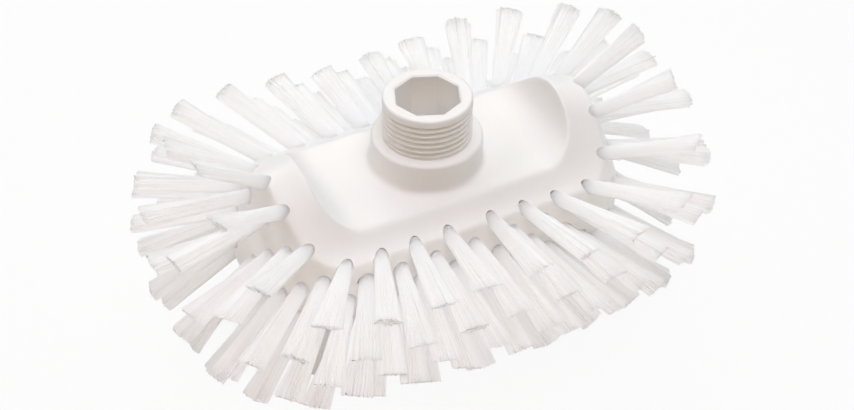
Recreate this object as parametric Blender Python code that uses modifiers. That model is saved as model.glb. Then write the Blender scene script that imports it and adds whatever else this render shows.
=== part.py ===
"""A round-ended bin cleaning brush head: one moulded block, set all round and underneath with
tufts of stiff filament.

The block is a bell-shaped loaf with a saddle cut across its middle. A collar and a spigot with
an octagonal socket stand in the saddle and take the handle. Four rows of tufts run round the
wall, a fifth leaves its chamfered foot, and rows under the block make the face that the brush
stands on.

Units are metres, +Z is up, X runs along the block. The origin is at the middle of the brush on
the surface that it stands on.
"""

import math

import bmesh
import bpy
import numpy as np
from mathutils import Matrix, Vector

MM = 0.001

# Heights above the standing surface
UNDER_TUFT_LENGTH = 35.0 * MM
BLOCK_DEPTH = 30.0 * MM
SADDLE_FLOOR = UNDER_TUFT_LENGTH + BLOCK_DEPTH
UNDERSIDE = UNDER_TUFT_LENGTH
STANDING_TRIM = 0.5 * MM

# Outline of the wall, seen from above: straight sides and half-ellipse ends
SIDE_HALF = 46.0 * MM
END_REACH = 26.0 * MM
HALF_WIDTH = 35.5 * MM

# Lean of the wall: it draws in above this level and swells a little below it
WALL_LEVEL = -5.0 * MM
WALL_DRAW_IN = 0.35
WALL_SWELL = 0.30
SWELL_DEPTH = 13.0 * MM
FOOT_CHAMFER = 3.0 * MM

# Bell section of the loaf
CREST_RISE = 17.0 * MM
BELL_DROP = 25.0 * MM
BELL_HALF = 42.0 * MM
DROOP_START = 50.0 * MM
DROOP_RUN = 15.0 * MM
DROOP = 0.14

# Saddle across the middle
SADDLE_HALF = 37.5 * MM
SADDLE_RADIUS = 14.5 * MM
SADDLE_LEAN = 0.5 * MM

# Collar and spigot
COLLAR_RADIUS = 20.8 * MM
COLLAR_HEIGHT = 12.0 * MM
COLLAR_EDGE = 0.9 * MM
COLLAR_FILLET = 2.2 * MM
SPIGOT_RADIUS = 16.6 * MM
SPIGOT_HEIGHT = 17.35 * MM
SPIGOT_CHAMFER = 1.0 * MM
SOCKET_ACROSS_CORNERS = 25.1 * MM
SOCKET_DEPTH = 24.0 * MM

# Belt of backing that carries the wall tufts, in sectors round the block
BELT_THICKNESS = 3.5 * MM
PIECE_GAP = 0.3 * MM

# Rows of tufts in the wall
FIRST_COLUMN = 9.0 * MM
SIDE_PITCH = 13.9 * MM
SIDE_COLUMNS = 4
END_COLUMNS = 3
ROWS = 4
FIRST_ROW_DROP = 0.5 * MM
LAST_ROW_RISE_AT_SIDE = 5.0 * MM
LAST_ROW_RISE_AT_END = 14.0 * MM
ROW_TILTS_AT_SIDE = (2.0, -5.5, -10.0, -14.5)
ROW_TILTS_AT_END = (32.0, -0.5, -4.5, -32.0)
TILT_POWER = 2.1
ROW_FAN_POWERS = (1.47, 1.6, 1.45, 1.3)
ROW_LENGTHS_AT_SIDE = (30.5 * MM, 35.8 * MM, 37.5 * MM, 36.5 * MM)
ROW_LENGTHS_AT_CORNER = (37.0 * MM, 36.5 * MM, 37.0 * MM, 35.0 * MM)
ROW_LENGTHS_AT_END = (29.0 * MM, 38.5 * MM, 37.0 * MM, 35.5 * MM)

# Row of tufts in the wall's chamfered foot
FOOT_ROW_TILT_AT_SIDE = -22.0
FOOT_ROW_TILT_AT_END = -47.0
FOOT_ROW_FAN_POWER = 1.0
FOOT_ROW_LENGTH = 34.0 * MM

# Rows of tufts under the block
UNDER_ROW_PITCH = 11.0 * MM
UNDER_PITCH = 17.6 * MM
UNDER_ROWS = 5
UNDER_END_MARGIN = 3.5 * MM
UNDER_SPLAY = 4.0
BAR_THICKNESS = 3.0 * MM

# Edges that turn by more than this stay sharp
SHARP_EDGE = 35.0

# Strands that make up each tuft, side by side in a flat fan
STRANDS_PER_TUFT = 3
STRAND_SIDES = 4
ROOT_SPACING = 1.65 * MM
TIP_SPACING = 3.25 * MM
STRAND_ROOT_RADIUS = 0.8 * MM
STRAND_TIP_RADIUS = 1.45 * MM
STRAND_DEPTH_RATIO = 1.3
WALL_STRAND_SEAT = 1.0 * MM
UNDER_STRAND_SEAT = 1.2 * MM


def new_material(name, colour, roughness):
    """Make a plain plastic material."""
    material = bpy.data.materials.new(name)
    material.use_nodes = True
    shader = material.node_tree.nodes["Principled BSDF"]
    shader.inputs["Base Color"].default_value = (*colour, 1.0)
    shader.inputs["Roughness"].default_value = roughness
    shader.inputs["Metallic"].default_value = 0.0
    return material


def new_object(name, mesh, collection, material=None):
    """Link a mesh to a collection as a named object."""
    thing = bpy.data.objects.new(name, mesh)
    collection.objects.link(thing)
    if material is not None:
        mesh.materials.append(material)
    return thing


def new_cutter(name, mesh, collection):
    """Link a mesh as an object that only cuts or joins others, shown as a wire."""
    thing = new_object(name, mesh, collection)
    thing.hide_render = True
    thing.display_type = "WIRE"
    return thing


def add_boolean(thing, cutter, operation):
    """Cut or join one object with another."""
    boolean = thing.modifiers.new(cutter.name, "BOOLEAN")
    boolean.operation = operation
    boolean.solver = "EXACT"
    boolean.object = cutter


def mesh_from(name, vertices, faces):
    """Make a mesh and turn its faces outward."""
    mesh = bpy.data.meshes.new(name)
    mesh.from_pydata([tuple(v) for v in vertices], [], faces)
    shell = bmesh.new()
    shell.from_mesh(mesh)
    bmesh.ops.recalc_face_normals(shell, faces=shell.faces)
    shell.to_mesh(mesh)
    shell.free()
    mesh.shade_smooth()
    mesh.set_sharp_from_angle(angle=math.radians(SHARP_EDGE))
    return mesh


def loft(name, sections):
    """Skin a row of closed sections that all have the same number of points."""
    count = len(sections[0])
    vertices = [point for section in sections for point in section]
    faces = [tuple(range(count)), tuple(range(len(vertices) - count, len(vertices)))]
    for row in range(len(sections) - 1):
        for column in range(count):
            after = (column + 1) % count
            near = row * count
            far = near + count
            faces.append((near + column, near + after, far + after, far + column))
    return mesh_from(name, vertices, faces)


def extruded(name, outline, thickness):
    """Make a flat outline of X and Y pairs into a plate centred on its own XY plane."""
    curve = bpy.data.curves.new(name, "CURVE")
    curve.dimensions = "2D"
    curve.fill_mode = "BOTH"
    curve.extrude = 0.5 * thickness
    spline = curve.splines.new("POLY")
    spline.points.add(len(outline) - 1)
    for point, (x, y) in zip(spline.points, outline):
        point.co = (x, y, 0.0, 1.0)
    spline.use_cyclic_u = True
    drawn = bpy.data.objects.new(name, curve)
    bpy.context.scene.collection.objects.link(drawn)
    graph = bpy.context.evaluated_depsgraph_get()
    mesh = bpy.data.meshes.new_from_object(drawn.evaluated_get(graph))
    bpy.data.objects.remove(drawn, do_unlink=True)
    bpy.data.curves.remove(curve)
    shell = bmesh.new()
    shell.from_mesh(mesh)
    bmesh.ops.remove_doubles(shell, verts=shell.verts, dist=0.001 * MM)
    flat = math.radians(0.05)
    bmesh.ops.dissolve_limit(shell, angle_limit=flat, verts=shell.verts, edges=shell.edges)
    bmesh.ops.recalc_face_normals(shell, faces=shell.faces)
    shell.to_mesh(mesh)
    shell.free()
    mesh.name = name
    return mesh


def prism(name, outline, low, high):
    """Raise an outline between two heights."""
    mesh = extruded(name, [(point.x, point.y) for point in outline], high - low)
    mesh.transform(Matrix.Translation((0.0, 0.0, 0.5 * (low + high))))
    return mesh


def build_outline():
    """Trace the wall's outline once round, clockwise from the middle of the +Y side."""
    turn = np.linspace(0.0, math.pi, 721)
    end_x = SIDE_HALF + END_REACH * np.sin(turn)
    end_y = HALF_WIDTH * np.cos(turn)
    x = np.concatenate(([0.0], end_x, -end_x, [0.0]))
    y = np.concatenate(([HALF_WIDTH], end_y, -end_y, [HALF_WIDTH]))
    steps = np.hypot(np.diff(x), np.diff(y))
    return x, y, np.concatenate(([0.0], np.cumsum(steps)))


OUTLINE_X, OUTLINE_Y, OUTLINE_RUN = build_outline()
LOOP = float(OUTLINE_RUN[-1])
QUARTER = LOOP / 4.0


def outline_at(run):
    """Give the outline's point and outward normal at a distance along it."""
    run = run % LOOP
    x = float(np.interp(run, OUTLINE_RUN, OUTLINE_X))
    y = float(np.interp(run, OUTLINE_RUN, OUTLINE_Y))
    past_side = max(abs(x) - SIDE_HALF, 0.0)
    normal = Vector((math.copysign(past_side / END_REACH ** 2, x), y / HALF_WIDTH ** 2, 0.0))
    return Vector((x, y, 0.0)), normal.normalized()


def wall_offset(height):
    """How far the wall stands outside its outline at a height above the saddle floor."""
    above = max(height - WALL_LEVEL, 0.0)
    below = min(max(WALL_LEVEL - height, 0.0), SWELL_DEPTH)
    return WALL_SWELL * below - WALL_DRAW_IN * above


def bell_height(x, y):
    """Height of the loaf's top above the saddle floor, before the saddle is cut."""
    past = max(abs(x) - DROOP_START, 0.0) / DROOP_RUN
    fullness = 1.0 - DROOP * past ** 1.5
    swell = 0.5 + 0.5 * math.cos(math.pi * min(abs(y) / BELL_HALF, 1.0))
    return CREST_RISE - BELL_DROP + BELL_DROP * fullness * swell


def shoulder_height(run):
    """Height at which the wall meets the bell section, found by halving the interval."""
    point, normal = outline_at(run)
    low = -0.5 * BLOCK_DEPTH
    high = CREST_RISE
    for _ in range(30):
        middle = 0.5 * (low + high)
        place = point + normal * wall_offset(middle)
        if bell_height(place.x, place.y) > middle:
            low = middle
        else:
            high = middle
    return 0.5 * (low + high)


SHOULDER_AT_SIDE = shoulder_height(0.0)
SHOULDER_AT_END = shoulder_height(QUARTER)


def end_share(run):
    """0 where the shoulder is as low as on the long sides, 1 at its highest, mid-end."""
    share = (shoulder_height(run) - SHOULDER_AT_SIDE) / (SHOULDER_AT_END - SHOULDER_AT_SIDE)
    return min(max(share, 0.0), 1.0)


def belt_inset(run):
    """How far the belt's inner face lies inside the outline."""
    return BELT_THICKNESS - wall_offset(shoulder_height(run))


def column_runs():
    """Distances round the outline of the first row's tufts."""
    side = [FIRST_COLUMN + SIDE_PITCH * step for step in range(SIDE_COLUMNS)]
    pitch = (QUARTER - side[-1]) / END_COLUMNS
    end = [side[-1] + pitch * step for step in range(1, END_COLUMNS + 1)]
    quarter = side + end
    half = quarter + [2.0 * QUARTER - run for run in reversed(quarter[:-1])]
    return half + [run + 2.0 * QUARTER for run in half]


def between(first, second):
    """Middle of two distances round the outline, where the second may have come round again."""
    if second < first:
        second += LOOP
    return (0.5 * (first + second)) % LOOP


def from_middle(run):
    """0 at the middle of a long side, 1 at the middle of an end."""
    return abs((run + QUARTER) % (2.0 * QUARTER) - QUARTER) / QUARTER


def leaning(run, fan_power, tilt_at_side, tilt_at_end):
    """Direction of a tuft that fans out towards the ends and tilts with its row."""
    point, _ = outline_at(run)
    away = from_middle(run)
    tilt = math.radians(tilt_at_side + (tilt_at_end - tilt_at_side) * away ** TILT_POWER)
    fan = 0.5 * math.pi * away ** fan_power
    out = Vector((math.copysign(math.sin(fan), point.x), math.copysign(math.cos(fan), point.y), 0.0))
    return out * math.cos(tilt) + Vector((0.0, 0.0, math.sin(tilt)))


def wall_tuft(run, row):
    """Root, direction and length of one wall tuft."""
    share = end_share(run)
    first = shoulder_height(run) - FIRST_ROW_DROP
    last = LAST_ROW_RISE_AT_SIDE * (1.0 - share) + LAST_ROW_RISE_AT_END * share - BLOCK_DEPTH
    height = first + (last - first) * row / (ROWS - 1)
    point, normal = outline_at(run)
    root = point + normal * wall_offset(height)
    root.z = SADDLE_FLOOR + height
    direction = leaning(run, ROW_FAN_POWERS[row], ROW_TILTS_AT_SIDE[row], ROW_TILTS_AT_END[row])
    away = from_middle(run)
    corner = math.sin(math.pi * away) ** 2
    straight = ROW_LENGTHS_AT_SIDE[row] * (1.0 - away ** 2) + ROW_LENGTHS_AT_END[row] * away ** 2
    return root, direction, straight * (1.0 - corner) + ROW_LENGTHS_AT_CORNER[row] * corner


def foot_tuft(run):
    """Root, direction and length of one tuft in the middle of the foot's chamfer."""
    point, normal = outline_at(run)
    root = point + normal * (wall_offset(UNDERSIDE - SADDLE_FLOOR) - 0.5 * FOOT_CHAMFER)
    root.z = UNDERSIDE + 0.5 * FOOT_CHAMFER
    direction = leaning(run, FOOT_ROW_FAN_POWER, FOOT_ROW_TILT_AT_SIDE, FOOT_ROW_TILT_AT_END)
    return root, direction, FOOT_ROW_LENGTH


def fan_direction(axis):
    """Level direction across a tuft, along which its fan spreads."""
    helper = Vector((0.0, 0.0, 1.0)) if abs(axis.z) < 0.8 else Vector((0.0, 1.0, 0.0))
    return helper.cross(axis).normalized()


def add_tuft(shell, root, axis, length, strand_seat):
    """Add a tuft of tapered strands, side by side, that spread from a tight root into a fan."""
    side = fan_direction(axis)
    for strand in range(STRANDS_PER_TUFT):
        place_in_fan = strand - 0.5 * (STRANDS_PER_TUFT - 1)
        base = root + side * (ROOT_SPACING * place_in_fan)
        tip = root + axis * length + side * (TIP_SPACING * place_in_fan)
        lean = (tip - base).normalized()
        seat = base - lean * strand_seat
        across = (side - lean * side.dot(lean)).normalized()
        turn = Matrix((across, lean.cross(across), lean)).transposed().to_4x4()
        deepen = Matrix.Diagonal((1.0, STRAND_DEPTH_RATIO, 1.0, 1.0))
        place = Matrix.Translation(0.5 * (seat + tip)) @ turn @ deepen
        bmesh.ops.create_cone(
            shell,
            cap_ends=True,
            segments=STRAND_SIDES,
            radius1=STRAND_ROOT_RADIUS,
            radius2=STRAND_TIP_RADIUS,
            depth=(tip - seat).length,
            matrix=place,
        )


def strands_object(name, tufts, strand_seat, cutters):
    """Make the strands of several tufts, given as roots, directions and lengths."""
    shell = bmesh.new()
    for root, axis, length in tufts:
        add_tuft(shell, root, axis, length, strand_seat)
    mesh = bpy.data.meshes.new(name)
    shell.to_mesh(mesh)
    shell.free()
    return new_cutter(name, mesh, cutters)


def belt_section(run):
    """Cross-section of the belt at a distance round the outline."""
    point, normal = outline_at(run)
    top = shoulder_height(run)
    foot = UNDERSIDE - SADDLE_FLOOR
    swell = min(WALL_LEVEL, 0.5 * (WALL_LEVEL - SWELL_DEPTH + top))
    inner = point - normal * belt_inset(run)
    corners = [
        (point + normal * (wall_offset(foot) - FOOT_CHAMFER), foot),
        (point + normal * wall_offset(foot), foot + FOOT_CHAMFER),
        (point + normal * wall_offset(WALL_LEVEL - SWELL_DEPTH), WALL_LEVEL - SWELL_DEPTH),
        (point + normal * wall_offset(swell), swell),
        (point + normal * wall_offset(top), top),
        (inner, bell_height(inner.x, inner.y)),
        (inner, foot),
    ]
    return [Vector((place.x, place.y, SADDLE_FLOOR + height)) for place, height in corners]


def sector_steps(start, stop):
    """Distances at which a sector of the belt is sectioned."""
    if stop < start:
        stop += LOOP
    return [start + (stop - start) * step / 4.0 for step in range(5)]


def build_sectors(collection, cutters, material):
    """Make each sector of the belt with the tufts that stand in it."""
    even = column_runs()
    odd = [between(run, even[(index + 1) % len(even)]) for index, run in enumerate(even)]
    edges = [between(odd[index - 1], run) for index, run in enumerate(even)]
    half_gap = 0.5 * PIECE_GAP
    for index, run in enumerate(even):
        name = f"wall_tufts_{index + 1:02d}"
        start = edges[index] + half_gap
        stop = edges[(index + 1) % len(edges)] - half_gap
        sections = [belt_section(step) for step in sector_steps(start, stop)]
        sector = new_object(name, loft(name, sections), collection, material)
        columns = [run if row % 2 == 0 else odd[index] for row in range(ROWS)]
        tufts = [wall_tuft(column, row) for row, column in enumerate(columns)]
        tufts.append(foot_tuft(run))
        strands = strands_object(f"{name}_strands", tufts, WALL_STRAND_SEAT, cutters)
        add_boolean(sector, strands, "UNION")
    return edges


def core_outline(edges, inset):
    """Trace what lies inside the belt, stepping as the belt's sectors do."""
    points = []
    for index, start in enumerate(edges):
        stop = edges[(index + 1) % len(edges)]
        for run in sector_steps(start, stop)[:-1]:
            point, normal = outline_at(run)
            points.append(point - normal * (belt_inset(run) + inset))
    return points


def core_half_length(plan, width):
    """How far the core reaches along X inside the belt, at a distance from its middle line."""
    end = sorted((point.y, point.x) for point in plan if point.x > 0.5 * SIDE_HALF)
    return float(np.interp(width, [y for y, _ in end], [x for _, x in end]))


def under_tufts(row, plan):
    """Roots, directions and lengths of one row of tufts under the block, as many as fit."""
    half_rows = 0.5 * (UNDER_ROWS - 1)
    middle = UNDER_ROW_PITCH * (row - half_rows)
    tuft_edge = abs(middle) + STRAND_ROOT_RADIUS * STRAND_DEPTH_RATIO
    half_length = min(core_half_length(plan, middle), core_half_length(plan, tuft_edge))
    stagger = 0.5 * (row % 2)
    pairs = int((half_length - UNDER_END_MARGIN) / UNDER_PITCH - stagger)
    columns = [stagger + step for step in range(pairs + 1)]
    columns = sorted({-column for column in columns} | set(columns))
    splay = math.tan(math.radians(UNDER_SPLAY))
    tufts = []
    for column in columns:
        root = Vector((UNDER_PITCH * column, middle, UNDERSIDE))
        lean_x = splay * column / columns[-1]
        lean_y = splay * (row - half_rows) / half_rows
        reach = Vector((lean_x, lean_y, -1.0)) * (UNDER_TUFT_LENGTH + STANDING_TRIM)
        tufts.append((root, reach.normalized(), reach.length))
    return tufts


def build_under_rows(collection, cutters, material, edges):
    """Make the bars under the block with the tufts that the brush stands on."""
    plan = core_outline(edges, PIECE_GAP)
    reach = SIDE_HALF + END_REACH
    table_outline = [(-reach, -reach), (reach, -reach), (reach, reach), (-reach, reach)]
    table_mesh = extruded("table_cutter", table_outline, 2.0 * UNDER_TUFT_LENGTH)
    table = new_cutter("table_cutter", table_mesh, cutters)
    table.location.z = -UNDER_TUFT_LENGTH
    for row in range(UNDER_ROWS):
        name = f"under_tufts_{row + 1}"
        near = UNDER_ROW_PITCH * (row - 0.5 * UNDER_ROWS) + 0.5 * PIECE_GAP
        far = near + UNDER_ROW_PITCH - PIECE_GAP
        tufts = under_tufts(row, plan)
        if row == 0:
            near = -reach
        if row == UNDER_ROWS - 1:
            far = reach
        lane_outline = [(-reach, near), (reach, near), (reach, far), (-reach, far)]
        lane = new_cutter(f"{name}_lane", extruded(f"{name}_lane", lane_outline, UNDERSIDE), cutters)
        lane.location.z = UNDERSIDE
        bar_mesh = prism(name, plan, UNDERSIDE, UNDERSIDE + BAR_THICKNESS)
        bar = new_object(name, bar_mesh, collection, material)
        add_boolean(bar, lane, "INTERSECT")
        strands = strands_object(f"{name}_strands", tufts, UNDER_STRAND_SEAT, cutters)
        add_boolean(bar, strands, "UNION")
        add_boolean(bar, table, "DIFFERENCE")


def turned_cutter(name, profile, collection, steps):
    """Turn a profile of radii and heights about the Z axis."""
    mesh = bpy.data.meshes.new(name)
    points = [(radius, 0.0, height) for radius, height in profile]
    mesh.from_pydata(points, [(i, i + 1) for i in range(len(points) - 1)], [])
    thing = new_cutter(name, mesh, collection)
    screw = thing.modifiers.new("Turn", "SCREW")
    screw.axis = "Z"
    screw.steps = steps
    screw.render_steps = steps
    screw.use_merge_vertices = True
    screw.merge_threshold = 0.00001
    return thing


def spigot_profile():
    """Radii and heights of the spigot and collar, from the top down the outer side."""
    top = SADDLE_FLOOR + COLLAR_HEIGHT + SPIGOT_HEIGHT
    shoulder = SADDLE_FLOOR + COLLAR_HEIGHT
    profile = [
        (0.0, top),
        (SPIGOT_RADIUS - SPIGOT_CHAMFER, top),
        (SPIGOT_RADIUS, top - SPIGOT_CHAMFER),
        (SPIGOT_RADIUS, shoulder),
        (COLLAR_RADIUS - COLLAR_EDGE, shoulder),
        (COLLAR_RADIUS, shoulder - COLLAR_EDGE),
    ]
    for step in range(4):
        angle = 0.5 * math.pi * step / 3.0
        radius = COLLAR_RADIUS + COLLAR_FILLET * (1.0 - math.cos(angle))
        profile.append((radius, SADDLE_FLOOR + COLLAR_FILLET * (1.0 - math.sin(angle))))
    sunk = SADDLE_FLOOR - COLLAR_FILLET
    profile.append((COLLAR_RADIUS + COLLAR_FILLET, sunk))
    profile.append((0.0, sunk))
    return profile


def saddle_cutter(collection):
    """Trough with a flat floor and hollow ends that runs right across the block."""
    top = SADDLE_FLOOR + 2.0 * CREST_RISE
    half = [(0.0, SADDLE_FLOOR)]
    for step in range(10):
        angle = 0.5 * math.pi * step / 9.0
        x = SADDLE_HALF + SADDLE_RADIUS * math.sin(angle)
        half.append((x, SADDLE_FLOOR + SADDLE_RADIUS * (1.0 - math.cos(angle))))
    half.append((SADDLE_HALF + SADDLE_RADIUS + SADDLE_LEAN, SADDLE_FLOOR + CREST_RISE))
    half.append((SADDLE_HALF + SADDLE_RADIUS + SADDLE_LEAN, top))
    outline = half + [(-x, z) for x, z in reversed(half[1:])]
    mesh = extruded("saddle_cutter", outline, 3.0 * HALF_WIDTH)
    mesh.transform(Matrix.Rotation(0.5 * math.pi, 4, "X"))
    return new_cutter("saddle_cutter", mesh, collection)


def socket_cutter(collection):
    """Blind octagonal socket with corners on the X and Y axes."""
    top = SADDLE_FLOOR + COLLAR_HEIGHT + SPIGOT_HEIGHT
    depth = SOCKET_DEPTH + 2.0 * SPIGOT_CHAMFER
    shell = bmesh.new()
    radius = 0.5 * SOCKET_ACROSS_CORNERS
    bmesh.ops.create_cone(shell, cap_ends=True, segments=8, radius1=radius, radius2=radius, depth=depth)
    mesh = bpy.data.meshes.new("socket_cutter")
    shell.to_mesh(mesh)
    shell.free()
    cutter = new_cutter("socket_cutter", mesh, collection)
    cutter.location.z = top - SOCKET_DEPTH + 0.5 * depth
    return cutter


def build_block(collection, cutters, material, edges):
    """Make the moulded block: bell-shaped loaf, saddle, collar, spigot and socket."""
    steps_across = 12
    reach = SIDE_HALF + END_REACH
    bottom = UNDERSIDE + BAR_THICKNESS + PIECE_GAP
    lean = np.linspace(DROOP_START, reach, 6)
    stations = [-x for x in reversed(lean)] + list(lean)
    sections = []
    for x in stations:
        section = []
        for step in range(-steps_across, steps_across + 1):
            y = HALF_WIDTH * step / steps_across
            section.append(Vector((x, y, SADDLE_FLOOR + bell_height(x, y))))
        section.append(Vector((x, HALF_WIDTH, bottom)))
        section.append(Vector((x, -HALF_WIDTH, bottom)))
        sections.append(section)
    block = new_object("brush_block", loft("brush_block", sections), collection, material)

    plan = core_outline(edges, PIECE_GAP)
    inside_mesh = prism("inside_belt", plan, 0.5 * bottom, SADDLE_FLOOR + 2.0 * CREST_RISE)
    add_boolean(block, new_cutter("inside_belt", inside_mesh, cutters), "INTERSECT")
    add_boolean(block, saddle_cutter(cutters), "DIFFERENCE")
    add_boolean(block, turned_cutter("spigot_form", spigot_profile(), cutters, 48), "UNION")
    add_boolean(block, socket_cutter(cutters), "DIFFERENCE")
    return block


def main():
    """Build the whole brush head."""
    for thing in list(bpy.data.objects):
        bpy.data.objects.remove(thing, do_unlink=True)
    brush = bpy.data.collections.new("bin_cleaning_brush")
    cutters = bpy.data.collections.new("cutters")
    bpy.context.scene.collection.children.link(brush)
    bpy.context.scene.collection.children.link(cutters)

    moulded = new_material("white_moulding", (0.86, 0.85, 0.83), 0.42)
    filament = new_material("white_filament", (0.88, 0.88, 0.87), 0.5)
    edges = build_sectors(brush, cutters, filament)
    build_under_rows(brush, cutters, filament, edges)
    build_block(brush, cutters, moulded, edges)


main()
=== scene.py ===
"""Dress the bin cleaning brush head: a white moulded block with a collar, a threaded spigot and
an octagonal socket, drilled round its wall and underneath, and the tufts of stiff filament.

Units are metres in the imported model's frame: +Z is up, X runs along the block, and the brush
stands on Z = 0. Heights on the block are measured from the floor of its saddle.
"""

import logging
import math
from collections.abc import Callable
from dataclasses import dataclass, field
from enum import Enum

import bmesh
import bpy
import numpy as np
from bpy.types import ID, Material, Mesh, Node, NodeSocket, NodeTree, Object
from mathutils import Matrix, Vector

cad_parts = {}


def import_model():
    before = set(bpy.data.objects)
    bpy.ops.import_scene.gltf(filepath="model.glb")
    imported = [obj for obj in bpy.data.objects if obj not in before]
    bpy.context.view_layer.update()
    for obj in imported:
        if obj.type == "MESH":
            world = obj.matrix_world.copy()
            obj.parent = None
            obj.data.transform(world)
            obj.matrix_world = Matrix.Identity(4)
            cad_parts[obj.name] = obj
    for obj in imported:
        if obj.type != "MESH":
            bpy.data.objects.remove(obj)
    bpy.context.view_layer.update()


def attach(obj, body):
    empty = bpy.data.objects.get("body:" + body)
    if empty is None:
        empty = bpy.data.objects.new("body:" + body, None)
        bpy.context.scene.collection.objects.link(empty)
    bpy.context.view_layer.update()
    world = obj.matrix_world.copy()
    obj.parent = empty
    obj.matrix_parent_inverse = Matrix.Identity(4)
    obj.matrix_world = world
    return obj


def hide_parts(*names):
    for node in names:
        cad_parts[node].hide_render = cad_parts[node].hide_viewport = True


LOG = logging.getLogger("brush_head")
MM = 0.001
SADDLE_FLOOR = 65.0 * MM
UNDERSIDE = -30.0 * MM
MERGE_WITHIN = 0.002 * MM
HALVINGS = 34
UPRIGHT_FROM = 0.8
WALL_SEED = 100
UNDER_SEED = 300
Values = np.ndarray | float


class Slot(Enum):
    """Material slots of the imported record."""

    MOULDING = "moulding"
    FILAMENT = "filament"


def array_mesh(name: str, points: np.ndarray, *groups: np.ndarray) -> Mesh:
    """Put whole arrays of points and faces into a mesh.

    Args:
        name: Name of the mesh.
        points: Array of shape (count, 3), in metres.
        groups: Arrays of shape (count, corners) of point numbers, each with its own number of
            corners, turning anticlockwise from outside.

    Returns:
        The mesh, with its edges worked out.
    """
    corners = np.concatenate([group.ravel() for group in groups])
    sizes = np.concatenate([np.full(len(group), group.shape[1]) for group in groups])
    mesh = bpy.data.meshes.new(name)
    mesh.vertices.add(len(points))
    mesh.vertices.foreach_set("co", np.ascontiguousarray(points, dtype=np.float32).ravel())
    mesh.loops.add(len(corners))
    mesh.loops.foreach_set("vertex_index", corners.astype(np.int32))
    mesh.polygons.add(len(sizes))
    mesh.polygons.foreach_set("loop_start", (np.cumsum(sizes) - sizes).astype(np.int32))
    mesh.update(calc_edges=True)
    mesh.validate()
    return mesh


def grid_quads(index: np.ndarray) -> np.ndarray:
    """Quads between neighbouring entries of a table of point numbers, or of a stack of tables."""
    corners = (index[..., :-1, :-1], index[..., :-1, 1:], index[..., 1:, 1:], index[..., 1:, :-1])
    return np.stack(corners, axis=-1).reshape(-1, 4)


def wrap_columns(index: np.ndarray) -> np.ndarray:
    """Repeat the first column after the last, so that a grid closes on itself."""
    return np.concatenate((index, index[..., :1]), axis=-1)


def opened_shell(points: np.ndarray, *groups: np.ndarray) -> bmesh.types.BMesh:
    """Editable shell of whole arrays of points and faces."""
    shell = bmesh.new()
    shell.from_mesh(array_mesh("shell", points, *groups))
    return shell


def closed_mesh(name: str, shell: bmesh.types.BMesh) -> Mesh:
    """Turn a closed shell's faces outward, put it into a new mesh and let it go."""
    bmesh.ops.recalc_face_normals(shell, faces=shell.faces)
    mesh = bpy.data.meshes.new(name)
    shell.to_mesh(mesh)
    shell.free()
    return mesh


def turned_mesh(name: str, points: np.ndarray, flat_foot: bool = False) -> Mesh:
    """Closed mesh of one or more turned bodies, with the points of each pole merged.

    Args:
        name: Name of the mesh.
        points: Array of shape (..., rows, angles, 3), each row a ring about the body's axis.
        flat_foot: Whether a flat face closes the first ring.

    Returns:
        The mesh.
    """
    index = np.arange(points[..., 0].size).reshape(points.shape[:-1])
    feet = [index[:1]] if flat_foot else []
    shell = opened_shell(points.reshape(-1, 3), grid_quads(wrap_columns(index)), *feet)
    bmesh.ops.remove_doubles(shell, verts=shell.verts, dist=MERGE_WITHIN)
    return closed_mesh(name, shell)


def blend(first: Values, second: Values, share: np.ndarray) -> np.ndarray:
    """The first where the share is 0, the second where it is 1, and a straight mix between."""
    return first * (1.0 - share) + second * share


def last_inside(low: np.ndarray, high: np.ndarray,
                inside: Callable[[np.ndarray], np.ndarray]) -> np.ndarray:
    """Where each value stops being inside, found by halving the interval again and again.

    Args:
        low: Values known to be inside.
        high: Values known to be outside.
        inside: Tells of each value whether it is inside.

    Returns:
        Array of low's shape.
    """
    for _ in range(HALVINGS):
        middle = 0.5 * (low + high)
        within = inside(middle)
        low, high = np.where(within, middle, low), np.where(within, high, middle)
    return 0.5 * (low + high)


def linked(name: str, data: ID) -> Object:
    """Make an object of some data and link it to the scene."""
    thing = bpy.data.objects.new(name, data)
    bpy.context.scene.collection.objects.link(thing)
    return thing


def fed(tree: NodeTree, node: Node, inputs: dict[str | int, object]) -> Node:
    """Feed a node's inputs.

    Args:
        tree: Node tree that the node stands in.
        node: The node.
        inputs: For each input, by name or number, a socket to link or a value to set.

    Returns:
        The same node.
    """
    for key, value in inputs.items():
        if isinstance(value, NodeSocket):
            tree.links.new(value, node.inputs[key])
        else:
            node.inputs[key].default_value = value
    return node


def new_node(tree: NodeTree, kind: str, inputs: dict[str | int, object]) -> Node:
    """Make a node of some kind in a tree and feed its inputs."""
    return fed(tree, tree.nodes.new(kind), inputs)


def new_piece(name: str, mesh: Mesh, finish: Material, nodes: list[str]) -> Object:
    """Link a finished mesh as a piece of the brush that stands for some CAD nodes.

    Args:
        name: Name of the piece.
        mesh: Mesh with its place already in its points.
        finish: Material that covers it.
        nodes: CAD nodes that the piece stands for.

    Returns:
        The linked object.
    """
    piece = linked(name, mesh)
    mesh.materials.clear()
    mesh.materials.append(finish)
    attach(piece, "root")
    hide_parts(*nodes)
    return piece


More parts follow.
